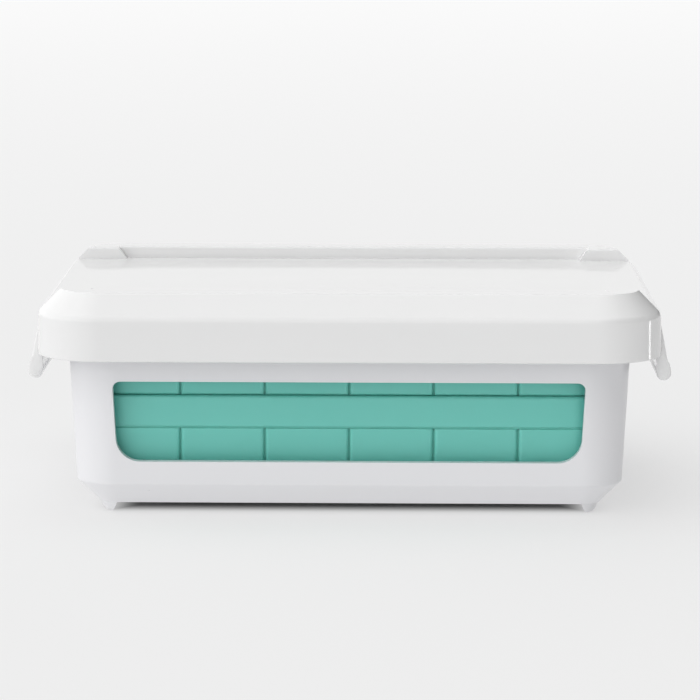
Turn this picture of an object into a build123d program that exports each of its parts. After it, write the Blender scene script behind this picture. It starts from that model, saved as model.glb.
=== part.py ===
from build123d import *
import os
from math import atan2, cos, degrees, radians, sqrt, tan

# Millimetres. +Z is up, the long sides face -Y and +Y, and the origin lies on the
# surface the object stands on, under the middle of the frame.

# Cells and trays
cell_columns = 6
cell_rows = 4
cell_pitch = 22.0
cell_mouth = 19.0
cell_bevel = 1.9
cell_floor_chamfer = 1.6
silicone_draft = 4.0
tray_wall = 3.0
tray_height = 22.1
tray_floor = 2.0
tray_corner = 9.0
collar_height = 8.1
web_drop = 1.2
block_edge = 0.8
block_gap = 1.1
block_gap_depth = 1.2
collar_line = 0.5

# Frame: floor, walls, base chamfer and corner feet
side_gap = 1.65
frame_wall = 2.5
frame_draft = 3.0
frame_corner = 11.0
base_chamfer = 5.8
base_rise = 2.6
base_ledge = 0.8
floor_thickness = 2.0
foot_pad = 3.6
foot_slope = 1.4
corner_rib = 1.6
corner_rib_clearance = 0.4
corner_rib_drop = 3.4

# Frame: windows and rim
window_sill = 5.4
window_height = 21.2
window_length = 122.6
window_top_corner = 2.0
window_sill_corner = 6.3
rim_reach = 4.3
rim_thickness = 1.8
rim_lip = 4.4
rim_corner = 14.2
tray_proud = 1.0

# Lid
lid_gap = 0.8
lid_wall = 2.0
lid_headroom = 0.5
lid_bevel = 5.9
skirt_height = 11.2
skirt_draft = 1.0
ridge_height = 3.3
ridge_width = 7.5
block_step = 3.3
block_length = 10.8
block_slope = 35.0
ridge_draft = 4.0
snap_bead = 0.5
snap_clearance = 0.4
bead_height = 1.6
ridge_edge = 0.5
shoulder_round = 1.0
plug_rib = 1.6
plug_rib_depth = 3.0
plug_rib_gap = 0.6

# Pull tabs on the short sides
tab_thickness = 3.0
tab_length = 84.0
tab_lean = 11.0
tab_start = 8.4
tab_drop = 13.8
tab_root = 0.05
tab_overlap = 0.9
tab_bulb = 1.95
tab_end_round = 3.0

# Worked-out plan sizes
tray_length = (cell_columns - 1) * cell_pitch + cell_mouth + 2 * tray_wall
tray_width = (cell_rows - 1) * cell_pitch + cell_mouth + 2 * tray_wall
block_height = tray_height - collar_height
block_inset = block_height * tan(radians(silicone_draft))

# Worked-out heights above the ground
chamfer_top = base_rise + base_chamfer
floor_top = chamfer_top + base_ledge
upper_tray_base = floor_top + tray_height
trays_top = upper_tray_base + tray_height
rim_top = trays_top - tray_proud
lid_underside = trays_top + lid_headroom
panel_top = lid_underside + lid_wall
lid_top = panel_top + ridge_height
skirt_top = lid_top - lid_bevel
skirt_bottom = skirt_top - skirt_height
wall_slope = tan(radians(frame_draft))


def wall_offset(height):
    """Distance from the trays' sides to the outside of the frame's wall at a height."""
    return side_gap + frame_wall + (height - floor_top) * wall_slope


def outline(reach, corner, mode=Mode.ADD):
    """Rounded rectangle in a sketch, reaching that far past the trays on every side."""
    RectangleRounded(tray_length + 2 * reach, tray_width + 2 * reach, corner, mode=mode)


def block_through(first_corner, *levels):
    """Drafted solid through pairs of height and reach. Its corners grow with the reach."""
    first_reach = levels[0][1]
    with BuildPart() as block:
        for (height, reach), (next_height, next_reach) in zip(levels, levels[1:]):
            rise = next_height - height
            with BuildSketch(Plane.XY.offset(height)):
                outline(reach, first_corner + reach - first_reach)
            extrude(amount=rise, taper=degrees(atan2(reach - next_reach, rise)))
    return block.part


# Reaches past the trays' sides that the frame and the lid share
rim_outside = wall_offset(rim_top) + rim_reach
lid_inside = rim_outside + lid_gap
lid_outside = lid_inside + lid_wall
lid_inner_corner = rim_corner + lid_gap
lid_corner = lid_inner_corner + lid_wall

# Reaches of the frame's wall and base
base_outside = wall_offset(chamfer_top)
base_reach = base_outside - base_chamfer
base_corner = frame_corner - base_chamfer
rim_wall_corner = frame_corner + wall_offset(rim_top) - base_outside


def make_corner_ribs(envelope):
    """Four upright fins in the frame's corners that keep the trays centred."""
    with BuildPart() as corner_ribs:
        for side_x in (-1, 1):
            for side_y in (-1, 1):
                middle = (
                    side_x * (tray_length / 2 - tray_corner),
                    side_y * (tray_width / 2 - tray_corner),
                    floor_top,
                )
                fin_plane = Plane(origin=middle, x_dir=(side_x, side_y, 0), z_dir=(0, 0, 1))
                with BuildSketch(fin_plane):
                    Rectangle(2 * frame_corner, corner_rib, align=(Align.MIN, Align.CENTER))
        extrude(amount=rim_top - corner_rib_drop - floor_top)
        add(envelope, mode=Mode.INTERSECT)
        with BuildSketch(Plane.XY.offset(floor_top)):
            outline(corner_rib_clearance, tray_corner + corner_rib_clearance)
        extrude(amount=2 * tray_height, mode=Mode.SUBTRACT)
    return corner_ribs.part


def make_feet():
    """The base's outline carried down to the ground and cut away between the corners."""
    with BuildPart() as feet:
        with BuildSketch():
            outline(base_reach, base_corner)
        extrude(amount=base_rise)
        half_x = tray_length / 2 + base_reach - foot_pad
        half_y = tray_width / 2 + base_reach - foot_pad
        for plane, half in ((Plane.XZ, half_x), (Plane.YZ, half_y)):
            with BuildSketch(plane):
                with BuildLine():
                    Polyline(
                        (-half, 0),
                        (half, 0),
                        (half - foot_slope, base_rise),
                        (foot_slope - half, base_rise),
                        close=True,
                    )
                make_face()
            extrude(amount=tray_length, both=True, mode=Mode.SUBTRACT)
    return feet.part


# Frame: drafted walls on a chamfered base, with a rim, two windows and corner feet
wall_envelope = block_through(
    frame_corner,
    (chamfer_top, base_outside),
    (rim_top, wall_offset(rim_top)),
)
chamfer_wall = frame_wall * sqrt(2)
hollow_top = floor_top - floor_thickness
window_bottom = floor_top + window_sill
window_top = window_bottom + window_height
sill_length = window_length - 2 * window_height * wall_slope
corner_rib_part = make_corner_ribs(wall_envelope)
feet_part = make_feet()

with BuildPart() as frame:
    add(wall_envelope)
    add(
        block_through(
            base_corner,
            (base_rise, base_reach),
            (chamfer_top, base_outside),
        )
    )
    # Outward rim, then the lip that hangs from its edge
    with BuildSketch(Plane.XY.offset(rim_top - rim_thickness)):
        outline(rim_outside, rim_corner)
    extrude(amount=rim_thickness)
    with BuildSketch(Plane.XY.offset(rim_top - rim_lip)):
        outline(rim_outside, rim_corner)
        outline(rim_outside - rim_thickness, rim_corner - rim_thickness, mode=Mode.SUBTRACT)
    extrude(amount=rim_lip)
    # Inside of the walls and the shallow hollow under the floor
    add(
        block_through(
            frame_corner - frame_wall,
            (floor_top, side_gap),
            (rim_top, wall_offset(rim_top) - frame_wall),
        ),
        mode=Mode.SUBTRACT,
    )
    hollow_reach = base_reach - chamfer_wall
    add(
        block_through(
            base_corner - chamfer_wall,
            (base_rise, hollow_reach),
            (hollow_top, hollow_reach + hollow_top - base_rise),
        ),
        mode=Mode.SUBTRACT,
    )
    add(corner_rib_part)
    # A window in each long side
    with BuildSketch(Plane.XZ):
        with BuildLine():
            Polyline(
                (-window_length / 2, window_top),
                (window_length / 2, window_top),
                (sill_length / 2, window_bottom),
                (-sill_length / 2, window_bottom),
                close=True,
            )
        make_face()
        fillet(vertices().group_by(Axis.Y)[-1], window_top_corner)
        fillet(vertices().group_by(Axis.Y)[0], window_sill_corner)
    extrude(amount=tray_width, both=True, mode=Mode.SUBTRACT)
    add(feet_part)


# Cell: the drafted pocket that one cube is frozen in, with sloped edges round its floor
cell_depth = tray_height - web_drop - tray_floor
with BuildPart() as cell:
    with BuildSketch(Plane.XY.offset(-cell_depth)):
        Rectangle(cell_mouth, cell_mouth)
        chamfer(vertices(), cell_bevel)
    extrude(amount=cell_depth)
    draft(faces().filter_by(Plane.XY, reverse=True), Plane.XY, -silicone_draft)
    chamfer(faces().sort_by(Axis.Z)[0].edges(), cell_floor_chamfer)


def make_tray(base):
    """Silicone tray: a smooth collar over rows of cell blocks parted by narrow gaps."""
    block_top = base + block_height
    mouth_height = base + tray_height - web_drop
    gap_bottom = block_gap_depth + block_inset
    with BuildPart() as tray:
        add(block_through(tray_corner - block_inset, (base, -block_inset), (block_top, 0)))
        chamfer(faces().sort_by(Axis.Z)[0].edges(), block_edge)
        # Gaps between the outer blocks, and a line under the collar
        with BuildSketch(Plane.XY.offset(base)):
            columns = GridLocations(cell_pitch, tray_width, cell_columns - 1, 2)
            with columns:
                Rectangle(block_gap, 2 * gap_bottom)
            rows = GridLocations(tray_length, cell_pitch, 2, cell_rows - 1)
            with rows:
                Rectangle(2 * gap_bottom, block_gap)
        extrude(amount=block_height, mode=Mode.SUBTRACT)
        with BuildSketch(Plane.XY.offset(block_top - collar_line)):
            outline(block_inset, tray_corner)
            outline(-collar_line, tray_corner - collar_line, mode=Mode.SUBTRACT)
        extrude(amount=collar_line, mode=Mode.SUBTRACT)
        with BuildSketch(Plane.XY.offset(block_top)):
            outline(0, tray_corner)
        extrude(amount=collar_height)
        # Webs a little below the rim, then the cells
        with BuildSketch(Plane.XY.offset(mouth_height)):
            outline(-tray_wall, tray_corner - tray_wall)
        extrude(amount=web_drop, mode=Mode.SUBTRACT)
        with Locations((0, 0, mouth_height)):
            with GridLocations(cell_pitch, cell_pitch, cell_columns, cell_rows):
                add(cell.part, mode=Mode.SUBTRACT)
    return tray.part


lower_tray = make_tray(floor_top)
upper_tray = make_tray(upper_tray_base)


# Lid: skirt, bevel all round, two ridges beside a sunk panel, hollow below
lid_length = tray_length + 2 * lid_outside
lid_width = tray_width + 2 * lid_outside
skirt_spread = skirt_height * tan(radians(skirt_draft))
ridge_inside = lid_width / 2 - lid_bevel - ridge_width
block_x = lid_length / 2 - lid_bevel - block_length
strip_width = 2 * (ridge_inside - block_step)
bevel_shift = lid_wall * (sqrt(2) - 1)
inner_bevel_start = skirt_top - bevel_shift
ridge_hollow_top = lid_top - lid_wall
inner_bevel = ridge_hollow_top - inner_bevel_start
slope_room = (ridge_height - lid_wall) * tan(radians(block_slope))
block_margin = slope_room + lid_wall / cos(radians(block_slope))


def inside_level(height, bead=0):
    """Height and reach of the skirt's inside, narrowed by a bead there."""
    return (height, lid_inside + (skirt_top - height) * tan(radians(skirt_draft)) - bead)


# Inside of the lid, with the bead that clicks below the rim's lip
bead_top = rim_top - rim_lip - snap_clearance
bead_bottom = bead_top - bead_height
with BuildPart() as lid_hollow:
    add(
        block_through(
            lid_inner_corner + skirt_spread,
            inside_level(skirt_bottom),
            inside_level(bead_bottom),
            inside_level(bead_bottom + snap_bead, snap_bead),
            inside_level(bead_top - snap_bead, snap_bead),
            inside_level(bead_top),
            (inner_bevel_start, lid_inside),
            (ridge_hollow_top, lid_inside - inner_bevel),
        )
    )
    with BuildSketch(Plane.XY.offset(lid_underside)):
        Rectangle(lid_length, strip_width + 2 * lid_wall)
        Rectangle(2 * (block_x + block_margin), 2 * (ridge_inside + lid_wall))
    extrude(amount=ridge_height, mode=Mode.SUBTRACT)

# Pull tab: a leaning plate that hangs from the short side's skirt and ends in a bulb
tab_top = skirt_bottom + tab_start
tab_face = lid_length / 2 + (skirt_top - tab_top) * tan(radians(skirt_draft)) - tab_root
tab_slope = tan(radians(tab_lean))
tab_bottom = (tab_face + tab_drop * tab_slope, tab_top - tab_drop)
tab_inner_top = tab_face + (tab_start - tab_overlap) * tab_slope - tab_thickness
tab_tip = tab_top - tab_drop - tab_bulb
with BuildPart() as tab:
    with BuildSketch(Plane.XZ.offset(-tab_length / 2)):
        with BuildLine():
            Polyline(
                (tab_face, tab_top),
                tab_bottom,
                (tab_bottom[0] - tab_thickness, tab_bottom[1]),
                (tab_inner_top, skirt_bottom + tab_overlap),
                close=True,
            )
        make_face()
        with Locations((tab_bottom[0] - tab_thickness / 2, tab_bottom[1])):
            Circle(tab_bulb)
    extrude(amount=tab_length)
    # Rounded lower corners, seen from the short side
    with BuildSketch(Plane.YZ):
        with Locations((0, tab_top)):
            Rectangle(tab_length, 2 * (tab_top - tab_tip))
        fillet(vertices(), tab_end_round)
    extrude(amount=lid_length, mode=Mode.INTERSECT)

with BuildPart() as lid:
    add(
        block_through(
            lid_corner + skirt_spread,
            (skirt_bottom, lid_outside + skirt_spread),
            (skirt_top, lid_outside),
            (lid_top, lid_outside - lid_bevel),
        )
    )
    fillet(edges().group_by(Axis.Z)[-1], ridge_edge)
    fillet(edges().filter_by_position(Axis.Z, skirt_top - 0.01, skirt_top + 0.01), shoulder_round)
    add(lid_hollow.part, mode=Mode.SUBTRACT)
    # Upright rib that fits inside the frame's walls
    rib_reach = wall_offset(lid_underside - plug_rib_depth) - frame_wall - plug_rib_gap
    rib_corner = rim_wall_corner - frame_wall - plug_rib_gap
    with BuildSketch(Plane.XY.offset(lid_underside - plug_rib_depth)):
        outline(rib_reach, rib_corner)
        outline(rib_reach - plug_rib, rib_corner - plug_rib, mode=Mode.SUBTRACT)
    extrude(amount=plug_rib_depth + ridge_height + lid_wall / 2)
    # Sunk panel, open at both short ends and wider between the ridges' end blocks
    with BuildSketch(Plane.XY.offset(panel_top)):
        Rectangle(lid_length + 2 * lid_bevel, strip_width)
    extrude(amount=2 * ridge_height, taper=-ridge_draft, mode=Mode.SUBTRACT)
    for rise in (0, 2 * ridge_height):
        end_shift = rise * tan(radians(block_slope))
        side_shift = rise * tan(radians(ridge_draft))
        with BuildSketch(Plane.XY.offset(panel_top + rise)):
            Rectangle(2 * (block_x + end_shift), 2 * (ridge_inside + side_shift))
    loft(ruled=True, mode=Mode.SUBTRACT)
    add(tab.part)
    add(tab.part.mirror(Plane.YZ))

pieces = {
    "frame": frame.part,
    "lower_tray": lower_tray,
    "upper_tray": upper_tray,
    "lid": lid.part,
}
os.makedirs("parts", exist_ok=True)
for name, piece in pieces.items():
    piece.label = name
    export_step(piece, f"parts/{name}.step")
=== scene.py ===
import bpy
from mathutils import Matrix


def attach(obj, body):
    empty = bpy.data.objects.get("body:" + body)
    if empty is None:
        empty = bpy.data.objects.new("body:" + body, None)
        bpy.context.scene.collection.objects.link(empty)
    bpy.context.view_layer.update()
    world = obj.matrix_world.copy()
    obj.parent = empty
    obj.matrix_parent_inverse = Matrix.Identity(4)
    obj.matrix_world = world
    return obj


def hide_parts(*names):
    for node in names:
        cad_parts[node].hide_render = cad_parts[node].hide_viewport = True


bl_info = {
    "name": "Ice cube tray with lid",
    "version": (1, 0, 0),
    "blender": (4, 5, 0),
    "location": "3D View > Sidebar > Ice Tray",
    "description": "Moulded box, silicone trays and lid of an ice cube tray, with a plain stage",
    "category": "Object",
}

from math import asin, cos, pi, radians, sin, sqrt, tan

import bmesh
import bpy
from mathutils import Matrix, Vector

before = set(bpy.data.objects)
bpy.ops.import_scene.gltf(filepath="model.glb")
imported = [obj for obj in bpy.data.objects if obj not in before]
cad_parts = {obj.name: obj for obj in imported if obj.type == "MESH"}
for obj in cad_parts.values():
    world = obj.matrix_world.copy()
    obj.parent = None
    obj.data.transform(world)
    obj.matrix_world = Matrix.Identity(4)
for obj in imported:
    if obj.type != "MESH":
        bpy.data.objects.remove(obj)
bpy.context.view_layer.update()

MM = 0.001
CORNERS = ((-1, -1), (-1, 1), (1, -1), (1, 1))

# The pieces' sizes are in millimetres, the same as the solids'. A reach is a distance past the trays'
# outline, and a shift is what a corner's radius has over its reach.

# Trays
CELL_PITCH = 22.0
CELL_COLUMNS = 6
CELL_ROWS = 4
CELL_MOUTH = 19.0
CELL_DEPTH = 18.9
CELL_CORNER = 3.0
CELL_FLOOR_EDGE = 1.6
SILICONE_SLOPE = tan(radians(4.0))
TRAY_WALL = 3.0
TRAY_HEIGHT = 22.1
TRAY_CORNER = 9.0
TRAY_LENGTH = (CELL_COLUMNS - 1) * CELL_PITCH + CELL_MOUTH + 2 * TRAY_WALL
TRAY_WIDTH = (CELL_ROWS - 1) * CELL_PITCH + CELL_MOUTH + 2 * TRAY_WALL
BLOCK_HEIGHT = 14.0
BLOCK_INSET = BLOCK_HEIGHT * SILICONE_SLOPE
NECK_HEIGHT = 0.5
NECK_DEPTH = 0.55
COLLAR_WIDTH = 2.3
WEB_DROP = 1.2
BLOCK_EDGE = 0.3

# Box
FLOOR_TOP = 9.2
FLOOR_THICKNESS = 2.0
BASE_RISE = 2.6
BASE_HOLLOW_REACH = -0.626
CHAMFER_TOP = 8.4
SIDE_GAP = 1.65
FRAME_WALL = 2.5
WALL_SLOPE = tan(radians(3.0))
WALL_SHIFT = 6.892
RIM_TOP = 52.4
RIM_UNDERSIDE = 50.6
RIM_OUTSIDE = 10.714
RIM_SHIFT = 3.486
LIP_BOTTOM = 48.0
LIP_WALL = 1.8
RIB_HALF = 0.8
RIB_TOP = 49.0
RIB_LEAD = 0.6
RIB_NEAR = TRAY_CORNER + 0.4
WINDOW_HALF = 61.3
WINDOW_SILL = FLOOR_TOP + 5.4
WINDOW_TOP = FLOOR_TOP + 26.6
WINDOW_CORNER = 2.0
SILL_CORNER = 6.3

# Lid
LID_TOP = 59.2
LID_WALL = 2.0
LID_OUTSIDE = 13.514
LID_INSIDE = LID_OUTSIDE - LID_WALL
LID_BEVEL = 5.9
SKIRT_TOP = 53.3
SKIRT_BOTTOM = 42.1
SKIRT_SPREAD = 0.196
SKIRT_EDGE = 0.4
SHOULDER_EDGE = 1.0
BEAD_DEPTH = 0.4
PANEL_TOP = 55.9
PANEL_UNDERSIDE = 53.9
PANEL_BLANK = 3.8
PANEL_CUT = 6.0
RIDGE_INSIDE = TRAY_WIDTH / 2 + LID_OUTSIDE - LID_BEVEL - 7.5
RIDGE_SLOPE = tan(radians(4.0))
STRIP_HALF = RIDGE_INSIDE - 3.3
BLOCK_X = TRAY_LENGTH / 2 + LID_OUTSIDE - LID_BEVEL - 10.8
BLOCK_SLOPE = tan(radians(35.0))
BLOCK_MARGIN = 3.35
TAB_TOP = SKIRT_BOTTOM + 8.4
TAB_LEAN = radians(11.0)
TAB_HALF_LENGTH = 42.0
TAB_DROP = 13.8
TAB_RUN = 14.06
TAB_BEND = 3.4
TAB_BACK = 3.3
TAB_PLATE = 1.47
TAB_BULB = 1.95
TAB_END = 3.0

# Stage, in metres, with brightness from 0 to 1
FLOOR_RADIUS = 14.0
# The floor's colour grows lighter far away, up to this level: painted light that stands in for a brighter
# backdrop.
FAR_BRIGHTNESS = 0.985
# Half sizes of the box's footprint, where the floor's painted glow is left out: a painted shadow under the
# box.
SHADED_HALF_X = 0.0658
SHADED_HALF_Y = 0.0438
REAR_LEVEL = 0.91
SEEN_LEVEL = 0.97
STRIP_PLACE = (0.292, 0.014, 0.026)
STRIP_TARGET = (0.08, -0.05, 0.026)
KEY_PLACE = (-0.12, -0.30, 0.95)


def wall_offset(height):
    """How far the outside of the box's wall stands past the trays at a height."""
    return SIDE_GAP + FRAME_WALL + (height - FLOOR_TOP) * WALL_SLOPE


BASE_REACH = wall_offset(CHAMFER_TOP) - (CHAMFER_TOP - BASE_RISE)


# Mesh helpers


def rounded_rectangle(half_x, half_y, corner, height, steps):
    """Points of one rounded rectangle, counter-clockwise, in metres."""
    points = []
    for quarter, (side_x, side_y) in enumerate(((1, 1), (-1, 1), (-1, -1), (1, -1))):
        for step in range(steps + 1):
            angle = (quarter + step / steps) * pi / 2
            x = side_x * (half_x - corner) + corner * cos(angle)
            y = side_y * (half_y - corner) + corner * sin(angle)
            points.append(Vector((x, y, height)) * MM)
    return points


def ring_points(reach, height, shift, steps):
    """Rounded rectangle round the trays, in metres."""
    return rounded_rectangle(TRAY_LENGTH / 2 + reach, TRAY_WIDTH / 2 + reach, reach + shift, height, steps)


def corner_arc(before, here, after, radius, segments):
    """Points of the arc that rounds the corner at here. It keeps clear of the next corners."""
    back = before - here
    onward = after - here
    half_angle = back.angle(onward) / 2
    setback = min(radius / tan(half_angle), 0.48 * back.length, 0.48 * onward.length)
    first = back.normalized() * setback
    last = onward.normalized() * setback
    arc_radius = setback * tan(half_angle)
    middle = (first + last).normalized() * (arc_radius / sin(half_angle))
    start = (first - middle).normalized()
    end = (last - middle).normalized()
    sweep = start.angle(end)
    points = []
    for step in range(segments + 1):
        share = step / segments
        spoke = (start * sin((1 - share) * sweep) + end * sin(share * sweep)) / sin(sweep)
        points.append(here + middle + spoke * arc_radius)
    return points


def rounded_profile(stations):
    """Open profile with arcs at its corners. Each station is reach, height, shift and radius."""
    result = []
    for index, (reach, height, shift, radius) in enumerate(stations):
        if radius > 0:
            before, here, after = (Vector(station[:2]) for station in stations[index - 1 : index + 2])
            arc = corner_arc(before, here, after, radius, 4)
            result += [(point.x, point.y, shift) for point in arc]
        else:
            result.append((reach, height, shift))
    return result


def rounded_outline(corners):
    """Closed flat outline with arcs at its corners. Each corner is x, y and radius."""
    result = []
    for index, (x, y, radius) in enumerate(corners):
        before = Vector(corners[index - 1][:2])
        after = Vector(corners[(index + 1) % len(corners)][:2])
        arc = corner_arc(before, Vector((x, y)), after, radius, 10)
        result += [(point.x, point.y) for point in arc]
    return result


def add_loft(mesh, rings):
    """Side faces between rings of equal length, with both ends closed."""
    layers = [[mesh.verts.new(point) for point in ring] for ring in rings]
    count = len(layers[0])
    for lower, upper in zip(layers, layers[1:]):
        for index in range(count):
            after = (index + 1) % count
            mesh.faces.new((lower[index], lower[after], upper[after], upper[index]))
    mesh.faces.new(list(reversed(layers[0])))
    mesh.faces.new(layers[-1])


def make_object(name, mesh_builder):
    """Object at the origin from a function that fills a bmesh."""
    mesh = bmesh.new()
    mesh_builder(mesh)
    bmesh.ops.remove_doubles(mesh, verts=mesh.verts, dist=1e-7)
    bmesh.ops.recalc_face_normals(mesh, faces=mesh.faces)
    data = bpy.data.meshes.new(name)
    mesh.to_mesh(data)
    mesh.free()
    piece = bpy.data.objects.new(name, data)
    bpy.context.scene.collection.objects.link(piece)
    return piece


def loft_object(name, *lofts):
    """Object of one or more closed solids, each given by its rings."""

    def fill(mesh):
        for rings in lofts:
            add_loft(mesh, rings)

    return make_object(name, fill)


def station_object(name, stations, steps):
    """Closed solid round the trays through stations of reach, height and shift."""
    return loft_object(name, [ring_points(*station, steps) for station in stations])


def plain_mesh(piece):
    """Makes the object's evaluated shape its own mesh, with no modifiers left."""
    graph = bpy.context.evaluated_depsgraph_get()
    graph.update()
    data = bpy.data.meshes.new_from_object(piece.evaluated_get(graph))
    piece.modifiers.clear()
    old = piece.data
    piece.data = data
    bpy.data.meshes.remove(old)
    data.name = piece.name


def combine(piece, other, operation):
    """Adds the other solid to the piece or cuts it away, and removes the other."""
    modifier = piece.modifiers.new(operation.title(), "BOOLEAN")
    modifier.operation = operation
    modifier.object = other
    modifier.solver = "EXACT"
    bpy.context.view_layer.update()
    plain_mesh(piece)
    bpy.data.objects.remove(other, do_unlink=True)
    if not piece.data.polygons:
        raise RuntimeError(f"{piece.name} is empty after {operation.lower()}")


def soften(piece, width, segments, chosen):
    """Rounds the sharp edges for which chosen(middle of the edge in mm) is true."""
    mesh = bmesh.new()
    mesh.from_mesh(piece.data)
    bmesh.ops.remove_doubles(mesh, verts=mesh.verts, dist=2e-6)
    bmesh.ops.dissolve_limit(mesh, angle_limit=radians(0.05), verts=mesh.verts, edges=mesh.edges)
    sharp = [
        edge
        for edge in mesh.edges
        if len(edge.link_faces) == 2
        and edge.calc_face_angle(0) > radians(30)
        and chosen((edge.verts[0].co + edge.verts[1].co) / (2 * MM))
    ]
    bmesh.ops.bevel(
        mesh,
        geom=sharp,
        offset=width * MM,
        segments=segments,
        profile=0.5,
        affect="EDGES",
        clamp_overlap=True,
    )
    mesh.to_mesh(piece.data)
    mesh.free()


def finish_surface(piece):
    """Smooth shading with crisp edges, and an attribute that marks the rounded edges."""
    mesh = bmesh.new()
    mesh.from_mesh(piece.data)
    mark = mesh.faces.layers.float.new("rounded_edge")
    for face in mesh.faces:
        longest = max(edge.calc_length() for edge in face.edges)
        narrow = face.calc_area() / longest < 0.6 * MM
        turn = max((edge.calc_face_angle(0) for edge in face.edges if len(edge.link_faces) == 2), default=0)
        face[mark] = 1.0 if narrow and turn > radians(9) else 0.0
    mesh.to_mesh(piece.data)
    mesh.free()
    piece.data.shade_smooth()
    piece.data.set_sharp_from_angle(angle=radians(32))
    weighted = piece.modifiers.new("Weighted normals", "WEIGHTED_NORMAL")
    weighted.keep_sharp = True
    weighted.weight = 60
    bpy.context.view_layer.update()
    plain_mesh(piece)


def dress(piece, material, body, slot, *nodes):
    """Gives the piece its finish and puts it in the place of the solids it stands for."""
    piece.data.materials.clear()
    piece.data.materials.append(material)
    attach(piece, body)
    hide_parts(*nodes)


# Node helpers


def link(tree, source, target):
    tree.links.new(source, target)


def feed(tree, target, value):
    """Sets the socket to a number, or links it from another socket."""
    if isinstance(value, (int, float)):
        target.default_value = value
    else:
        link(tree, value, target)


def calculate(tree, operation, *values):
    """Math node of the operation on numbers or sockets. Returns its output."""
    node = tree.nodes.new("ShaderNodeMath")
    node.operation = operation
    for index, value in enumerate(values):
        feed(tree, node.inputs[index], value)
    return node.outputs[0]


def fade_between(tree, value, start, end, low=0.0, high=1.0):
    """Smooth change from low to high while the value goes from start to end."""
    node = tree.nodes.new("ShaderNodeMapRange")
    node.interpolation_type = "SMOOTHSTEP"
    for label, number in (("From Min", start), ("From Max", end), ("To Min", low), ("To Max", high)):
        node.inputs[label].default_value = number
    link(tree, value, node.inputs["Value"])
    return node.outputs["Result"]


def blend(tree, kind, factor, first, second):
    """Mix node of numbers or colours, from the first to the second. Returns its output."""
    node = tree.nodes.new("ShaderNodeMix")
    node.data_type = kind
    for label, value in (("Factor", factor), ("A", first), ("B", second)):
        feed(tree, node.inputs[label], value)
    return node.outputs["Result"]


def add_inputs(tree, sockets):
    """Group inputs from rows of label, kind and default. A default of None is left to Blender."""
    for label, kind, value in sockets:
        item = tree.interface.new_socket(label, in_out="INPUT", socket_type="NodeSocket" + kind)
        if value is not None:
            item.default_value = value


# Finishes


def surface_group():
    """Shared surface effect: soft mottling, fine grain, rubbed edges and light dust."""
    name = "Moulded surface"
    if name in bpy.data.node_groups:
        return bpy.data.node_groups[name]
    tree = bpy.data.node_groups.new(name, "ShaderNodeTree")
    add_inputs(
        tree,
        (
            ("Colour", "Color", (0.8, 0.8, 0.8, 1)),
            ("Mottle colour", "Color", (0.75, 0.75, 0.75, 1)),
            ("Rubbed colour", "Color", (0.9, 0.9, 0.9, 1)),
            ("Mottle", "Float", 0.5),
            ("Rubbed edges", "Float", 0.3),
            ("Roughness", "Float", 0.3),
            ("Roughness spread", "Float", 0.08),
            ("Grain size", "Float", 0.0006),
            ("Grain", "Float", 0.5),
            ("Waves", "Float", 0.2),
        ),
    )
    for label, kind in (("Colour", "Color"), ("Roughness", "Float"), ("Height", "Float")):
        tree.interface.new_socket(label, in_out="OUTPUT", socket_type="NodeSocket" + kind)
    given = tree.nodes.new("NodeGroupInput").outputs
    out = tree.nodes.new("NodeGroupOutput").inputs
    place = tree.nodes.new("ShaderNodeTexCoord").outputs["Object"]

    def noise(scale, detail, rough=0.5):
        node = tree.nodes.new("ShaderNodeTexNoise")
        feed(tree, node.inputs["Scale"], scale)
        node.inputs["Detail"].default_value = detail
        node.inputs["Roughness"].default_value = rough
        link(tree, place, node.inputs["Vector"])
        return node.outputs["Fac"]

    broad = fade_between(tree, noise(28, 3), 0.3, 0.7)
    cloudy = noise(140, 4, 0.6)
    specks = fade_between(tree, noise(2600, 2), 0.66, 0.78)
    fine = noise(calculate(tree, "DIVIDE", 1.0, given["Grain size"]), 2)
    edge = tree.nodes.new("ShaderNodeAttribute")
    edge.attribute_name = "rounded_edge"
    rubbed = calculate(tree, "MULTIPLY", edge.outputs["Fac"], fade_between(tree, cloudy, 0.42, 0.6))
    rubbed = calculate(tree, "MULTIPLY", rubbed, given["Rubbed edges"])

    mottle = calculate(tree, "MULTIPLY", calculate(tree, "MULTIPLY", broad, cloudy), given["Mottle"])
    mottled = blend(tree, "RGBA", mottle, given["Colour"], given["Mottle colour"])
    link(tree, blend(tree, "RGBA", rubbed, mottled, given["Rubbed colour"]), out["Colour"])

    dust = calculate(tree, "MULTIPLY", specks, 0.6)
    varied = calculate(tree, "ADD", calculate(tree, "SUBTRACT", cloudy, 0.5), dust)
    varied = calculate(tree, "ADD", varied, calculate(tree, "MULTIPLY", rubbed, 0.8))
    rough = calculate(tree, "MULTIPLY_ADD", varied, given["Roughness spread"], given["Roughness"])
    link(tree, rough, out["Roughness"])

    grain = calculate(tree, "MULTIPLY", fine, given["Grain"])
    link(tree, calculate(tree, "MULTIPLY_ADD", noise(45, 1), given["Waves"], grain), out["Height"])
    return tree


def finish_material(name, colours, bump, surface, shading):
    """Material of the shared surface effect, with its values for the group and for the shader."""
    material = bpy.data.materials.new(name)
    material.use_nodes = True
    tree = material.node_tree
    shader = tree.nodes["Principled BSDF"]
    group = tree.nodes.new("ShaderNodeGroup")
    group.node_tree = surface_group()
    for label, colour in zip(("Colour", "Mottle colour", "Rubbed colour"), colours):
        group.inputs[label].default_value = (*colour, 1)
    for label, value in surface.items():
        group.inputs[label].default_value = value
    for label, value in shading.items():
        shader.inputs[label].default_value = value
    shader.inputs["Subsurface Radius"].default_value = (1, 1, 1)
    link(tree, group.outputs["Colour"], shader.inputs["Base Color"])
    link(tree, group.outputs["Roughness"], shader.inputs["Roughness"])
    relief = tree.nodes.new("ShaderNodeBump")
    relief.inputs["Strength"].default_value = bump
    relief.inputs["Distance"].default_value = 0.05 * MM
    link(tree, group.outputs["Height"], relief.inputs["Height"])
    link(tree, relief.outputs["Normal"], shader.inputs["Normal"])
    return material


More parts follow.
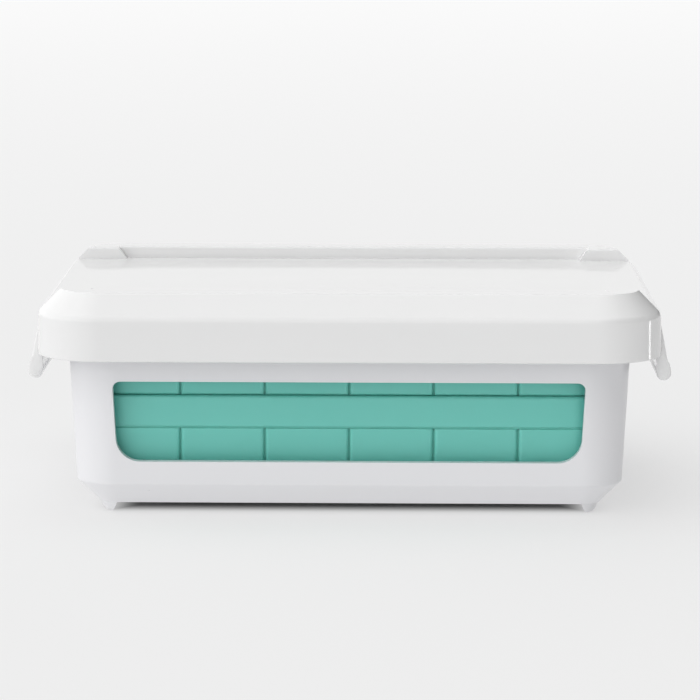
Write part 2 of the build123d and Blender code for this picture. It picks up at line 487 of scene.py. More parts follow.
def box_plastic(colour):
    """Satin white plastic of the box, a little worn on its edges."""
    surface = {
        "Mottle": 0.35,
        "Rubbed edges": 0.35,
        "Roughness": 0.3,
        "Roughness spread": 0.12,
        "Grain size": 0.0005,
        "Grain": 0.6,
        "Waves": 1.2,
    }
    colours = (colour, (0.81, 0.81, 0.835), (0.86, 0.86, 0.87))
    return finish_material("White box plastic", colours, 0.12, surface, {"IOR": 1.49})


def tray_silicone(colour):
    """Teal silicone with a fine matt grain. Light goes a little way into it."""
    surface = {
        "Mottle": 0.5,
        "Rubbed edges": 0.25,
        "Roughness": 0.42,
        "Roughness spread": 0.12,
        "Grain size": 0.0003,
        "Grain": 0.9,
        "Waves": 0.8,
    }
    colours = (colour, (0.2, 0.65, 0.57), (0.24, 0.685, 0.61))
    shading = {"IOR": 1.43, "Subsurface Weight": 0.3, "Subsurface Scale": 0.002}
    return finish_material("Teal silicone", colours, 0.25, surface, shading)


def lid_plastic(colour):
    """Polished white plastic of the lid."""
    surface = {
        "Mottle": 0.3,
        "Rubbed edges": 0.12,
        "Roughness": 0.04,
        "Roughness spread": 0.03,
        "Grain size": 0.0006,
        "Grain": 0.3,
        "Waves": 0.6,
    }
    colours = (colour, (0.81, 0.81, 0.81), (0.86, 0.86, 0.86))
    shading = {"IOR": 1.49, "Subsurface Weight": 0.1, "Subsurface Scale": 0.003}
    return finish_material("White lid plastic", colours, 0.05, surface, shading)


# Properties


def colour_property(name, description, default):
    return bpy.props.FloatVectorProperty(
        name=name, description=description, subtype="COLOR", default=default, min=0, max=1
    )


def length_property(name, description, default, low, high):
    """Property of a length, written here in millimetres and held in metres."""
    return bpy.props.FloatProperty(
        name=name,
        description=description,
        unit="LENGTH",
        precision=5,
        default=default * MM,
        min=low * MM,
        max=high * MM,
    )


def share_property(name, description, default):
    return bpy.props.FloatProperty(
        name=name, description=description, subtype="FACTOR", default=default, min=0, max=1
    )


def strength_property(name, description, default):
    return bpy.props.FloatProperty(name=name, description=description, default=default, min=0, max=10)


class IceTrayFrameSettings(bpy.types.PropertyGroup):
    colour: colour_property("Box colour", "Colour of the open-sided box", (0.83, 0.83, 0.85))
    window_edge: length_property("Window edge", "Rounding of the windows' edges", 0.5, 0.1, 1.0)


class IceTrayTraySettings(bpy.types.PropertyGroup):
    colour: colour_property("Silicone colour", "Colour of the trays", (0.18, 0.625, 0.545))
    cell_pitch: length_property("Cell pitch", "Distance from one cell to the next", CELL_PITCH, 10, 40)
    groove_depth: length_property("Groove depth", "Depth of the grooves between the blocks", 1.2, 0.8, 2.0)
    mouth_edge: length_property("Mouth edge", "Rounding round the mouth of a cell", 0.6, 0.1, 1.0)


class IceTrayLidSettings(bpy.types.PropertyGroup):
    colour: colour_property("Lid colour", "Colour of the lid", (0.83, 0.83, 0.83))
    crown: length_property("Panel crown", "Rise of the sunk panel in its middle", 0.8, 0, 2)
    ridge_edge: length_property("Ridge edge", "Rounding of the ridges' edges", 0.6, 0.1, 1.0)


class IceTrayStageSettings(bpy.types.PropertyGroup):
    floor_colour: share_property("Floor", "Brightness of the floor", 0.86)
    # Share of the floor's brightness that is a painted glow (emission) rather than lamp light; it is left out
    # under the box as a painted shadow.
    painted_glow: share_property("Floor glow", "Share of the floor's light that comes from below it", 0.6)
    key_strength: strength_property("Key light", "Strength of the key light", 0.5)
    sky_strength: strength_property("Room light", "Strength of the room's light", 1.0)


# Box


def box_body():
    """Floor, walls, rim and lip of the box over its hollow base, without windows."""
    hollow_top = FLOOR_TOP - FLOOR_THICKNESS
    profile = (
        (BASE_HOLLOW_REACH, hollow_top, WALL_SHIFT, 0),
        (BASE_HOLLOW_REACH - (hollow_top - BASE_RISE), BASE_RISE, WALL_SHIFT, 0.3),
        (BASE_REACH, BASE_RISE, WALL_SHIFT, 0.6),
        (wall_offset(CHAMFER_TOP), CHAMFER_TOP, WALL_SHIFT, 1.0),
        (wall_offset(RIM_UNDERSIDE), RIM_UNDERSIDE, WALL_SHIFT, 0.5),
        (RIM_OUTSIDE - LIP_WALL, RIM_UNDERSIDE, RIM_SHIFT, 0.4),
        (RIM_OUTSIDE - LIP_WALL, LIP_BOTTOM, RIM_SHIFT, 0.3),
        (RIM_OUTSIDE, LIP_BOTTOM, RIM_SHIFT, 0.4),
        (RIM_OUTSIDE, RIM_TOP, RIM_SHIFT, 0.6),
        (wall_offset(RIM_TOP) - FRAME_WALL, RIM_TOP, WALL_SHIFT, 0.5),
        (SIDE_GAP, FLOOR_TOP, WALL_SHIFT, 1.2),
        (SIDE_GAP - 4, FLOOR_TOP, WALL_SHIFT, 0),
    )
    return station_object("box_frame", rounded_profile(profile), 14)


def foot_outline(inner, inset):
    """One foot's outline in the corner where x and y are positive."""
    half_x, half_y = TRAY_LENGTH / 2 + BASE_REACH, TRAY_WIDTH / 2 + BASE_REACH
    corner = WALL_SHIFT + BASE_REACH
    low_x, low_y = half_x - inner, half_y - inner
    middle_x, middle_y = half_x - corner, half_y - corner
    radius = corner - inset
    first = asin(max(0.0, (low_y - middle_y) / radius))
    last = pi / 2 - asin(max(0.0, (low_x - middle_x) / radius))
    points = [(low_x, low_y)]
    for step in range(9):
        angle = first + (last - first) * step / 8
        points.append((middle_x + radius * cos(angle), middle_y + radius * sin(angle)))
    return points


def corner_feet():
    """Four tapered feet. Each level is how far in the foot goes, its inset and its height."""
    levels = (
        (3.7, 1.9, 0.0),
        (3.9, 1.45, 0.25),
        (4.4, 0.85, 1.2),
        (5.0, 0.35, BASE_RISE),
        (5.0, 0.35, BASE_RISE + 0.5),
    )
    feet = []
    for side_x, side_y in CORNERS:
        rings = []
        for inner, inset, height in levels:
            outline = foot_outline(inner, inset)
            rings.append([Vector((side_x * x, side_y * y, height)) * MM for x, y in outline])
        feet.append(rings)
    return loft_object("feet", *feet)


def corner_ribs():
    """Four ribs that centre the trays. Each level is height, and near and far from the corner's middle."""
    levels = (
        (FLOOR_TOP - 0.5, RIB_NEAR, 12.6),
        (RIB_TOP - RIB_LEAD, RIB_NEAR, 14.7),
        (RIB_TOP, RIB_NEAR + RIB_LEAD, 14.7),
    )
    middle_x, middle_y = TRAY_LENGTH / 2 - TRAY_CORNER, TRAY_WIDTH / 2 - TRAY_CORNER
    ribs = []
    for side_x, side_y in CORNERS:
        out = Vector((side_x, side_y, 0)).normalized()
        across = Vector((-out.y, out.x, 0)) * RIB_HALF
        rings = []
        for height, near, far in levels:
            middle = Vector((side_x * middle_x, side_y * middle_y, height))
            spots = ((near, -1), (far, -1), (far, 1), (near, 1))
            rings.append([(middle + out * run + across * side) * MM for run, side in spots])
        ribs.append(rings)
    return loft_object("corner_ribs", *ribs)


def window_cutter():
    """Bar with the window's outline, through both long sides."""
    sill_half = WINDOW_HALF - (WINDOW_TOP - WINDOW_SILL) * WALL_SLOPE
    outline = rounded_outline(
        (
            (-WINDOW_HALF, WINDOW_TOP, WINDOW_CORNER),
            (-sill_half, WINDOW_SILL, SILL_CORNER),
            (sill_half, WINDOW_SILL, SILL_CORNER),
            (WINDOW_HALF, WINDOW_TOP, WINDOW_CORNER),
        )
    )
    ends = (-70.0, 70.0)
    return loft_object("window", [[Vector((x, end, z)) * MM for x, z in outline] for end in ends])


def by_window(place):
    """Whether a point in millimetres lies on an edge of a window."""
    by_sides = abs(place.x) < WINDOW_HALF + 1.2 and abs(place.y) > TRAY_WIDTH / 2 + 1.0
    return by_sides and WINDOW_SILL - 0.5 < place.z < WINDOW_TOP + 0.5


class OBJECT_OT_ice_tray_frame(bpy.types.Operator):
    """Open-sided box with its rim, windows, corner ribs and feet"""

    bl_idname = "object.ice_tray_frame"
    bl_label = "Box"

    def execute(self, context):
        settings = context.scene.ice_tray_frame
        body = box_body()
        combine(body, corner_feet(), "UNION")
        combine(body, corner_ribs(), "UNION")
        combine(body, window_cutter(), "DIFFERENCE")
        soften(body, settings.window_edge / MM, 3, by_window)
        finish_surface(body)
        dress(body, box_plastic(tuple(settings.colour)), "frame", "frame_plastic", "frame")
        return {"FINISHED"}


# Trays


def cell_cutter(edge):
    """Pocket of one cell, with a rounded mouth and sloped edges round its floor."""
    half = CELL_MOUTH / 2
    spread = edge * (1 - cos(radians(75)))
    stations = [(half + spread, 1.5, CELL_CORNER + edge)]
    for angle in (75, 50, 25):
        spread = edge * (1 - cos(radians(angle)))
        stations.append((half + spread, edge * sin(radians(angle)) - edge, CELL_CORNER + spread))
    low = CELL_FLOOR_EDGE - CELL_DEPTH
    side = half + low * SILICONE_SLOPE
    stations += [
        (half, -edge, CELL_CORNER + 0.2),
        (side + 0.05, low + 0.7, 2.05),
        (side - 0.15, low + 0.05, 1.95),
        (side - 0.6, low - 0.75, 1.6),
        (side - 1.15, 0.25 - CELL_DEPTH, 1.2),
        (side - CELL_FLOOR_EDGE, -CELL_DEPTH, 0.9),
    ]
    rings = [rounded_rectangle(reach, reach, corner, height, 6) for reach, height, corner in stations]
    return loft_object("cell", rings)


def gap_cutter(depth):
    """Groove between two outer blocks, soft at its mouth. It follows their draft on either side."""
    shoulder, slit, run = 1.0, 0.22, 0.7
    rings = []
    for height in (-1.0, BLOCK_HEIGHT - NECK_HEIGHT):
        surface = (BLOCK_HEIGHT - height) * SILICONE_SLOPE
        side = [(slit, surface + depth), (slit, surface + run)]
        for step in range(1, 6):
            angle = step / 5 * pi / 2
            side.append((slit + shoulder * (1 - cos(angle)), surface + run - shoulder * run * sin(angle)))
        outline = side + [(x, -y) for x, y in reversed(side)]
        outline += [(-x, -y) for x, y in side] + [(-x, y) for x, y in reversed(side)]
        rings.append([Vector((x, y, height)) * MM for x, y in outline])
    return loft_object("gap", rings)


def tray_tree():
    """Geometry nodes that cut a grid of cells and the gaps between the outer blocks."""
    tree = bpy.data.node_groups.new("Cell grid", "GeometryNodeTree")
    add_inputs(
        tree,
        (
            ("Geometry", "Geometry", None),
            ("Columns", "Int", CELL_COLUMNS),
            ("Rows", "Int", CELL_ROWS),
            ("Pitch", "Float", CELL_PITCH * MM),
            ("Length", "Float", TRAY_LENGTH * MM),
            ("Width", "Float", TRAY_WIDTH * MM),
            ("Mouth height", "Float", 0.0),
            ("Base height", "Float", 0.0),
            ("Cell", "Object", None),
            ("Gap", "Object", None),
            ("Finish", "Material", None),
        ),
    )
    tree.interface.new_socket("Geometry", in_out="OUTPUT", socket_type="NodeSocketGeometry")
    given = tree.nodes.new("NodeGroupInput").outputs
    out = tree.nodes.new("NodeGroupOutput").inputs

    def grid(size_x, size_y, count_x, count_y):
        node = tree.nodes.new("GeometryNodeMeshGrid")
        values = {"Size X": size_x, "Size Y": size_y, "Vertices X": count_x, "Vertices Y": count_y}
        for label, value in values.items():
            feed(tree, node.inputs[label], value)
        return node.outputs["Mesh"]

    def spread(points, piece, height, turn=0.0):
        info = tree.nodes.new("GeometryNodeObjectInfo")
        link(tree, piece, info.inputs["Object"])
        copies = tree.nodes.new("GeometryNodeInstanceOnPoints")
        link(tree, points, copies.inputs["Points"])
        link(tree, info.outputs["Geometry"], copies.inputs["Instance"])
        copies.inputs["Rotation"].default_value = (0, 0, turn)
        real = tree.nodes.new("GeometryNodeRealizeInstances")
        link(tree, copies.outputs["Instances"], real.inputs["Geometry"])
        lift = tree.nodes.new("GeometryNodeTransform")
        link(tree, real.outputs["Geometry"], lift.inputs["Geometry"])
        up = tree.nodes.new("ShaderNodeCombineXYZ")
        link(tree, height, up.inputs["Z"])
        link(tree, up.outputs["Vector"], lift.inputs["Translation"])
        return lift.outputs["Geometry"]

    def cut(solid, *cutters):
        node = tree.nodes.new("GeometryNodeMeshBoolean")
        node.operation = "DIFFERENCE"
        node.solver = "EXACT"
        link(tree, solid, node.inputs["Mesh 1"])
        for cutter in cutters:
            link(tree, cutter, node.inputs["Mesh 2"])
        return node.outputs["Mesh"]

    columns, rows, pitch = given["Columns"], given["Rows"], given["Pitch"]
    inner_columns = calculate(tree, "SUBTRACT", columns, 1)
    inner_rows = calculate(tree, "SUBTRACT", rows, 1)
    span_x = calculate(tree, "MULTIPLY", inner_columns, pitch)
    span_y = calculate(tree, "MULTIPLY", inner_rows, pitch)
    gaps_x = calculate(tree, "SUBTRACT", span_x, pitch)
    gaps_y = calculate(tree, "SUBTRACT", span_y, pitch)
    cells = spread(grid(span_x, span_y, columns, rows), given["Cell"], given["Mouth height"])
    fronts = grid(gaps_x, given["Width"], inner_columns, 2)
    sides = grid(given["Length"], gaps_y, 2, inner_rows)
    front_gaps = spread(fronts, given["Gap"], given["Base height"])
    side_gaps = spread(sides, given["Gap"], given["Base height"], pi / 2)
    body = cut(cut(given["Geometry"], cells), front_gaps, side_gaps)
    whole = tree.nodes.new("GeometryNodeRealizeInstances")
    link(tree, body, whole.inputs["Geometry"])
    paint = tree.nodes.new("GeometryNodeSetMaterial")
    link(tree, whole.outputs["Geometry"], paint.inputs["Geometry"])
    link(tree, given["Finish"], paint.inputs["Material"])
    link(tree, paint.outputs["Geometry"], out["Geometry"])
    return tree


def tray_body(name, base):
    """One tray without its cells and grooves: drafted blocks, a neck over them and a collar."""
    block_top = base + BLOCK_HEIGHT
    top = base + TRAY_HEIGHT
    profile = (
        (-BLOCK_INSET - 3, base, TRAY_CORNER, 0),
        (-BLOCK_INSET, base, TRAY_CORNER, 0.9),
        (-0.03, block_top - NECK_HEIGHT, TRAY_CORNER, 0.3),
        (-NECK_DEPTH, block_top - NECK_HEIGHT, TRAY_CORNER, 0),
        (-NECK_DEPTH, block_top, TRAY_CORNER, 0),
        (0.0, block_top, TRAY_CORNER, 0.4),
        (0.0, top, TRAY_CORNER, 0.8),
        (-COLLAR_WIDTH, top, TRAY_CORNER, 0.6),
        (-COLLAR_WIDTH, top - WEB_DROP, TRAY_CORNER, 0),
    )
    return station_object(name, rounded_profile(profile), 12)


def apply_tree(piece, tree, values):
    """Runs the piece through the tree with values for its named inputs, and makes the result plain."""
    modifier = piece.modifiers.new(tree.name, "NODES")
    modifier.node_group = tree
    for item in tree.interface.items_tree:
        if item.in_out == "INPUT" and item.name in values:
            modifier[item.identifier] = values[item.name]
    bpy.context.view_layer.update()
    plain_mesh(piece)


def block_edges(base):
    """Test of whether a point in millimetres lies on an outer block of the tray on that base."""

    def chosen(place):
        far_out = abs(place.x) > TRAY_LENGTH / 2 - 1.6 or abs(place.y) > TRAY_WIDTH / 2 - 1.6
        return place.z < base + BLOCK_HEIGHT - 0.1 and far_out

    return chosen


class OBJECT_OT_ice_tray_trays(bpy.types.Operator):
    """Two silicone trays, each a collar over rows of cell blocks"""

    bl_idname = "object.ice_tray_trays"
    bl_label = "Trays"

    def execute(self, context):
        settings = context.scene.ice_tray_trays
        teal = tray_silicone(tuple(settings.colour))
        cell = cell_cutter(settings.mouth_edge / MM)
        gap = gap_cutter(settings.groove_depth / MM)
        tree = tray_tree()
        for name, base in (("lower_tray", FLOOR_TOP), ("upper_tray", FLOOR_TOP + TRAY_HEIGHT)):
            tray = tray_body("silicone_" + name, base)
            values = {
                "Columns": CELL_COLUMNS,
                "Rows": CELL_ROWS,
                "Pitch": settings.cell_pitch,
                "Mouth height": (base + TRAY_HEIGHT - WEB_DROP) * MM,
                "Base height": base * MM,
                "Cell": cell,
                "Gap": gap,
                "Finish": teal,
            }
            uncut = len(tray.data.polygons)
            apply_tree(tray, tree, values)
            if len(tray.data.polygons) < 2 * uncut:
                raise RuntimeError("the cells weren't cut")
            soften(tray, BLOCK_EDGE, 2, block_edges(base))
            finish_surface(tray)
            dress(tray, teal, name, "tray_silicone", name)
        bpy.data.objects.remove(cell, do_unlink=True)
        bpy.data.objects.remove(gap, do_unlink=True)
        return {"FINISHED"}


# Lid


def lid_shell():
    """Skirt, bevel and top of the lid, hollow inside, with the bead that grips the rim."""
    inside_top = LID_TOP - LID_WALL
    skirt_inside_top = SKIRT_TOP - 0.828
    stations = (
        (LID_INSIDE - (inside_top - skirt_inside_top), inside_top),
        (LID_INSIDE, skirt_inside_top),
        (LID_INSIDE + 0.096, 47.6),
        (LID_INSIDE - BEAD_DEPTH, 47.1),
        (LID_INSIDE - BEAD_DEPTH, 46.5),
        (LID_INSIDE + 0.12, 46.0),
        (LID_INSIDE + SKIRT_SPREAD, SKIRT_BOTTOM),
        (LID_OUTSIDE + SKIRT_SPREAD, SKIRT_BOTTOM),
        (LID_OUTSIDE, SKIRT_TOP),
        (LID_OUTSIDE - LID_BEVEL, LID_TOP),
    )
    return station_object("box_lid", [(*station, RIM_SHIFT) for station in stations], 16)


def box_rings(half_x, half_y, bottom, height, end_growth=0.0, side_growth=0.0, flare=0.0):
    """Rectangles one over the other, larger by the growths. A flare rounds a cut's upper edge."""
    levels = [(0.0, 0.0), (height, 0.0)]
    if flare:
        rim = LID_TOP - bottom
        turns = [radians(20 * step) for step in range(5)]
        levels = [(0.0, 0.0)]
        levels += [(rim - flare + flare * sin(turn), flare * (1 - cos(turn))) for turn in turns]
        levels.append((height, levels[-1][1]))
    rings = []
    for rise, extra in levels:
        x = half_x + rise * end_growth + extra
        y = half_y + rise * side_growth + extra
        corners = ((x, y), (-x, y), (-x, -y), (x, -y))
        rings.append([Vector((*corner, bottom + rise)) * MM for corner in corners])
    return rings


def panel_blanks():
    """Slabs of the panel: a long one that reaches the bevel at both ends, and a wide one below the ridges."""
    half_x = TRAY_LENGTH / 2 + LID_OUTSIDE - 1.4 - (PANEL_UNDERSIDE - SKIRT_TOP)
    return (
        ("panel", box_rings(half_x, STRIP_HALF + 2, PANEL_UNDERSIDE, PANEL_BLANK, -1.0)),
        ("wide_panel", box_rings(BLOCK_X + BLOCK_MARGIN, RIDGE_INSIDE + 2, PANEL_UNDERSIDE, PANEL_BLANK)),
    )


def panel_cuts(edge):
    """Cuts that sink the panel: a strip from end to end, and a wider one between the ridges' blocks."""
    far = TRAY_LENGTH / 2 + 20
    return (
        ("strip", box_rings(far, STRIP_HALF, PANEL_TOP, PANEL_CUT, 0.0, RIDGE_SLOPE, edge)),
        ("middle", box_rings(BLOCK_X, RIDGE_INSIDE, PANEL_TOP, PANEL_CUT, BLOCK_SLOPE, RIDGE_SLOPE, edge)),
    )


def centring_rib():
    """Wall under the panel that goes inside the box's wall."""
    rib = station_object("rib", ((3.2, 50.9, WALL_SHIFT), (3.2, 57.9, WALL_SHIFT)), 12)
    hole = station_object("rib_hole", ((1.6, 50.0, WALL_SHIFT), (1.6, 58.5, WALL_SHIFT)), 12)
    combine(rib, hole, "DIFFERENCE")
    return rib


def by_top_edge(place):
    """Whether a point in millimetres lies on an outer edge of the lid's top, not on the cuts in it."""
    by_strip = abs(abs(place.y) - STRIP_HALF) < 1.2
    by_middle = abs(place.x) < BLOCK_X + 4 and abs(place.y) < RIDGE_INSIDE + 1.2
    return place.z > PANEL_TOP - 0.2 and not by_strip and not by_middle


def crown_panel(lid, rise):
    """Raises the sunk panel's middle by a shallow crown, on its upper and its lower side."""
    mesh = bmesh.new()
    mesh.from_mesh(lid.data)

    def flat_faces(height, side):
        return [
            face
            for face in mesh.faces
            if face.normal.z * side > 0.999
            and all(abs(vertex.co.z - height) < 1e-6 for vertex in face.verts)
        ]

    levels = (
        (PANEL_TOP * MM, 1, BLOCK_X + 9.0, STRIP_HALF),
        (PANEL_UNDERSIDE * MM, -1, TRAY_LENGTH / 2 + 1.6, TRAY_WIDTH / 2 + 1.6),
    )
    for height, side, half_x, half_y in levels:
        for direction, half, count in ((Vector((1, 0, 0)), half_x, 30), (Vector((0, 1, 0)), half_y, 18)):
            for step in range(count + 1):
                place = direction * ((2 * step / count - 1) * half * MM)
                faces = flat_faces(height, side)
                edges = {edge for face in faces for edge in face.edges}
                corners = {vertex for face in faces for vertex in face.verts}
                geometry = [*faces, *edges, *corners]
                bmesh.ops.bisect_plane(mesh, geom=geometry, dist=1e-7, plane_co=place, plane_no=direction)
        for vertex in {vertex for face in flat_faces(height, side) for vertex in face.verts}:
            across = min(1.0, abs(vertex.co.x) / (half_x * MM))
            along = min(1.0, abs(vertex.co.y) / (half_y * MM))
            vertex.co.z += rise * MM * (1 - across**2) * (1 - along**2)
    mesh.to_mesh(lid.data)
    mesh.free()


def tab_thickness(run, inset):
    """Half the pull tab's thickness at a run from its bulb's middle. Plate and bulb run into each other."""
    bulb = sqrt(max(0.0, TAB_BULB**2 - run * run)) - 0.06
    return 0.5 * (TAB_PLATE + bulb + sqrt((TAB_PLATE - bulb) ** 2 + 0.1)) - inset


def tab_rings():
    """Sections of one pull tab along its length, on the side where x is positive."""
    spread = (SKIRT_TOP - TAB_TOP) * SKIRT_SPREAD / (SKIRT_TOP - SKIRT_BOTTOM)
    face = TRAY_LENGTH / 2 + LID_OUTSIDE + spread - 0.05
    down = Vector((sin(TAB_LEAN), -cos(TAB_LEAN)))
    out = Vector((cos(TAB_LEAN), sin(TAB_LEAN)))
    bulb_x = face + TAB_DROP * tan(TAB_LEAN) - 1.5
    edge_steps = ((0.0, 0.42), (0.06, 0.22), (0.22, 0.06), (0.45, 0.0))
    ends = [(TAB_HALF_LENGTH - back, inset) for back, inset in edge_steps]
    ends += [(TAB_HALF_LENGTH - TAB_END * (1 - sin(radians(angle))), 0.0) for angle in (54, 36, 18, 0)]
    bend_runs = [TAB_BEND * (step / 10 - 1) for step in range(1, 11)]
    rings = []
    for y, inset in [(-y, inset) for y, inset in ends] + ends[::-1]:
        past = max(0.0, abs(y) - (TAB_HALF_LENGTH - TAB_END))
        raised = TAB_END - sqrt(max(0.0, TAB_END**2 - past * past))
        middle = Vector((bulb_x, TAB_TOP - TAB_DROP)) - down * raised
        plate_run = TAB_RUN - raised - TAB_BEND
        front_runs = [plate_run * (step / 5 - 1) - TAB_BEND for step in range(1, 6)] + bend_runs
        back_runs = bend_runs[::-1] + [-TAB_BEND - (TAB_BACK - raised) * step / 4 for step in range(5)]
        radius = tab_thickness(0.0, inset)
        points = [Vector((face - inset, TAB_TOP))]
        points += [middle + down * run + out * tab_thickness(run, inset) for run in front_runs]
        for step in range(1, 14):
            turn = pi * step / 14
            points.append(middle + out * radius * cos(turn) + down * radius * sin(turn))
        points += [middle + down * run - out * tab_thickness(run, inset) for run in back_runs]
        rings.append([Vector((point.x, y, point.y)) * MM for point in points])
    return rings


def pull_tabs():
    """Both pull tabs, the second a mirror of the first."""
    rings = tab_rings()
    mirrored = [[Vector((-point.x, point.y, point.z)) for point in ring] for ring in rings]
    return loft_object("tabs", rings, mirrored)


class OBJECT_OT_ice_tray_lid(bpy.types.Operator):
    """Lid with its skirt, bevel, ridges, sunk panel and two pull tabs"""

    bl_idname = "object.ice_tray_lid"
    bl_label = "Lid"

    def execute(self, context):
        settings = context.scene.ice_tray_lid
        edge = settings.ridge_edge / MM
        lid = lid_shell()
        for name, rings in panel_blanks():
            combine(lid, loft_object(name, rings), "UNION")
        combine(lid, centring_rib(), "UNION")
        for name, rings in panel_cuts(edge):
            combine(lid, loft_object(name, rings), "DIFFERENCE")
        soften(lid, SHOULDER_EDGE, 4, lambda place: abs(place.z - SKIRT_TOP) < 0.05)
        soften(lid, edge, 3, by_top_edge)
        soften(lid, SKIRT_EDGE, 3, lambda place: place.z < SKIRT_BOTTOM + 0.1)
        crown_panel(lid, settings.crown / MM)
        combine(lid, pull_tabs(), "UNION")
        finish_surface(lid)
        dress(lid, lid_plastic(tuple(settings.colour)), "lid", "lid_plastic", "lid")
        return {"FINISHED"}


# Stage


def stage_paper(settings):
    """Pale paper with painted light: its colour grows lighter far away, and a painted glow (emission)
    brightens it everywhere except under the box, where leaving the glow out paints a shadow.
    """
    paper = bpy.data.materials.new("Stage paper")
    paper.use_nodes = True
    tree = paper.node_tree
    shader = tree.nodes["Principled BSDF"]
    shader.inputs["Roughness"].default_value = 0.9
    shader.inputs["Specular IOR Level"].default_value = 0.0
    place = tree.nodes.new("ShaderNodeTexCoord").outputs["Object"]
    distance = tree.nodes.new("ShaderNodeVectorMath")
    distance.operation = "LENGTH"
    link(tree, place, distance.inputs[0])
    split = tree.nodes.new("ShaderNodeSeparateXYZ")
    link(tree, place, split.inputs["Vector"])
    past = [
        calculate(tree, "SUBTRACT", calculate(tree, "ABSOLUTE", split.outputs[axis]), half)
        for axis, half in (("X", SHADED_HALF_X), ("Y", SHADED_HALF_Y))
    ]
    past_box = calculate(tree, "MAXIMUM", *past)
    # The floor's colour rises from near the box to far away: painted light that stands in for a brighter
    # backdrop.
    near_brightness = settings.floor_colour - 0.045
    brightness = fade_between(tree, distance.outputs["Value"], -1.6, 3.4, near_brightness, FAR_BRIGHTNESS)
    # Part of the floor's brightness is a painted glow (emission). It fades out over the box's footprint,
    # which paints a shadow under the box.
    lit = calculate(tree, "MULTIPLY", brightness, 1.0 - settings.painted_glow)
    painted_glow = fade_between(tree, past_box, -0.0105, -0.0005, 0.0, settings.painted_glow)
    link(tree, lit, shader.inputs["Base Color"])
    shader.inputs["Emission Color"].default_value = (1, 1, 1, 1)
    link(tree, calculate(tree, "MULTIPLY", brightness, painted_glow), shader.inputs["Emission Strength"])
    return paper


def studio_world(strength):
    """Even light from all round, more from the left and the front, less from a dark flag at the right.

    Each fade runs over x, y or z of a direction of length 1: x to the right, y to the back and z up.
    """
    world = bpy.data.worlds.new("Studio")
    world.use_nodes = True
    tree = world.node_tree
    split = tree.nodes.new("ShaderNodeSeparateXYZ")
    link(tree, tree.nodes.new("ShaderNodeTexCoord").outputs["Generated"], split.inputs["Vector"])
    x, y, z = (split.outputs[axis] for axis in "XYZ")
    left = fade_between(tree, x, -0.75, 0.0, 0.3, 0.0)
    left = calculate(tree, "MULTIPLY", left, fade_between(tree, z, 0.2, 0.55, 1.0, 0.0))
    room = calculate(tree, "MULTIPLY_ADD", left, strength, strength)
    room = calculate(tree, "MULTIPLY", room, fade_between(tree, y, -0.95, -0.4, 1.3, 1.0))
    flag = fade_between(tree, x, 0.0, 0.33, 0.0, 0.98)
    flag = calculate(tree, "MULTIPLY", flag, fade_between(tree, z, 0.55, 0.9, 1.0, 0.0))
    room = calculate(tree, "MULTIPLY", room, calculate(tree, "SUBTRACT", 1.0, flag))
    room = blend(tree, "FLOAT", fade_between(tree, y, 0.935, 0.975), room, REAR_LEVEL)
    rays = tree.nodes.new("ShaderNodeLightPath")
    room = blend(tree, "FLOAT", rays.outputs["Is Camera Ray"], room, SEEN_LEVEL)
    link(tree, room, tree.nodes["Background"].inputs["Color"])
    return world


def add_light(name, kind, strength, place, target):
    """Light of the kind at a place, turned to its target."""
    holder = bpy.data.objects.new(name, bpy.data.lights.new(name, kind))
    bpy.context.scene.collection.objects.link(holder)
    holder.data.energy = strength
    holder.location = place
    holder.rotation_mode = "QUATERNION"
    holder.rotation_quaternion = (Vector(target) - Vector(place)).to_track_quat("-Z", "Y")
    return holder


def add_camera():
    """Camera where the photo was taken from. Its target and its distance are in millimetres."""
    photo_width, focal = 700, 3444.3
    pitch, yaw, roll = radians(8.73), radians(0.67), radians(0.13)
    target, distance = Vector((0.36, -59.01, 45.55)), 880.79
    lens = bpy.data.cameras.new("camera")
    lens.sensor_width = 36.0
    lens.lens = focal / photo_width * lens.sensor_width
    lens.clip_start, lens.clip_end = 0.05, 60.0
    camera = bpy.data.objects.new("camera", lens)
    bpy.context.scene.collection.objects.link(camera)
    forward = Vector((-sin(yaw) * cos(pitch), cos(yaw) * cos(pitch), -sin(pitch)))
    right = Vector((cos(yaw), sin(yaw), 0))
    up = right.cross(forward)
    turned_right = right * cos(roll) + up * sin(roll)
    turned_up = up * cos(roll) - right * sin(roll)
    camera.location = (target - forward * distance) * MM
    camera.rotation_mode = "QUATERNION"
    basis = Matrix((turned_right, turned_up, -forward)).transposed()
    camera.rotation_quaternion = basis.to_quaternion()
    return camera


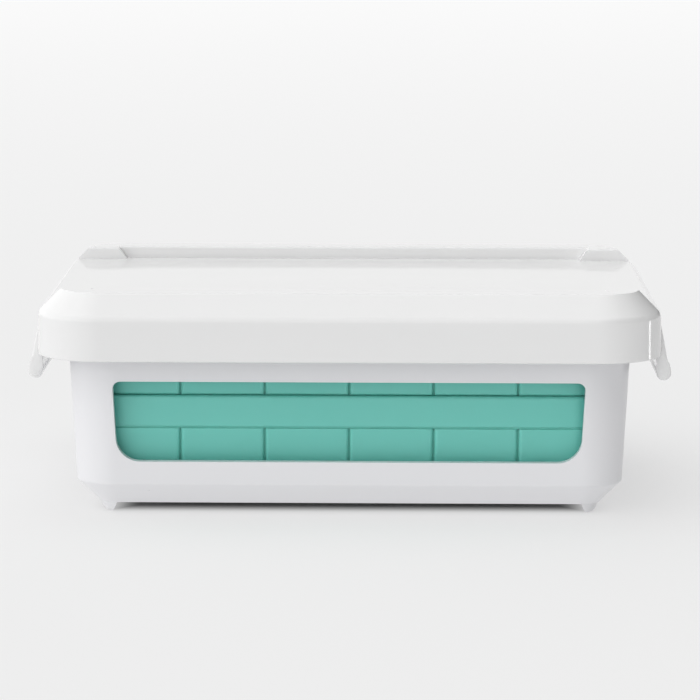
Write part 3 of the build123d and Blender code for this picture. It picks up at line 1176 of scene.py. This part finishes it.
class OBJECT_OT_ice_tray_stage(bpy.types.Operator):
    """Pale floor with a painted glow and a painted shadow under the box, soft studio light and the camera"""

    bl_idname = "object.ice_tray_stage"
    bl_label = "Stage"

    def execute(self, context):
        settings = context.scene.ice_tray_stage
        scene = context.scene
        scene.view_settings.view_transform = "Standard"

        def disc(mesh):
            bmesh.ops.create_circle(mesh, cap_ends=True, segments=96, radius=FLOOR_RADIUS)

        floor = make_object("stage_floor", disc)
        floor.data.materials.append(stage_paper(settings))
        scene.world = studio_world(settings.sky_strength)
        key = add_light("key_light", "SUN", settings.key_strength, KEY_PLACE, (0, 0, 0))
        key.data.angle = radians(70)
        strip = add_light("strip_light", "AREA", 0.018, STRIP_PLACE, STRIP_TARGET)
        strip.data.shape = "RECTANGLE"
        strip.data.size, strip.data.size_y = 0.02, 0.05
        strip.visible_camera = False
        scene.camera = add_camera()
        return {"FINISHED"}


# Panel


class VIEW3D_PT_ice_tray(bpy.types.Panel):
    """Pieces of the ice cube tray"""

    bl_idname = "VIEW3D_PT_ice_tray"
    bl_label = "Ice cube tray"
    bl_space_type = "VIEW_3D"
    bl_region_type = "UI"
    bl_category = "Ice Tray"

    def draw(self, context):
        for operator, group in (
            (OBJECT_OT_ice_tray_stage, "ice_tray_stage"),
            (OBJECT_OT_ice_tray_frame, "ice_tray_frame"),
            (OBJECT_OT_ice_tray_trays, "ice_tray_trays"),
            (OBJECT_OT_ice_tray_lid, "ice_tray_lid"),
        ):
            box = self.layout.box()
            box.operator(operator.bl_idname)
            settings = getattr(context.scene, group)
            for name in settings.__annotations__:
                box.prop(settings, name)


GROUPS = {
    "ice_tray_frame": IceTrayFrameSettings,
    "ice_tray_trays": IceTrayTraySettings,
    "ice_tray_lid": IceTrayLidSettings,
    "ice_tray_stage": IceTrayStageSettings,
}
CLASSES = (
    *GROUPS.values(),
    OBJECT_OT_ice_tray_stage,
    OBJECT_OT_ice_tray_frame,
    OBJECT_OT_ice_tray_trays,
    OBJECT_OT_ice_tray_lid,
    VIEW3D_PT_ice_tray,
)


def register():
    for item in CLASSES:
        bpy.utils.register_class(item)
    for name, group in GROUPS.items():
        setattr(bpy.types.Scene, name, bpy.props.PointerProperty(type=group))


def unregister():
    for name in GROUPS:
        delattr(bpy.types.Scene, name)
    for item in reversed(CLASSES):
        bpy.utils.unregister_class(item)


def main():
    register()
    bpy.ops.object.ice_tray_stage()
    bpy.ops.object.ice_tray_frame()
    bpy.ops.object.ice_tray_trays()
    bpy.ops.object.ice_tray_lid()


if __name__ == "__main__":
    main()
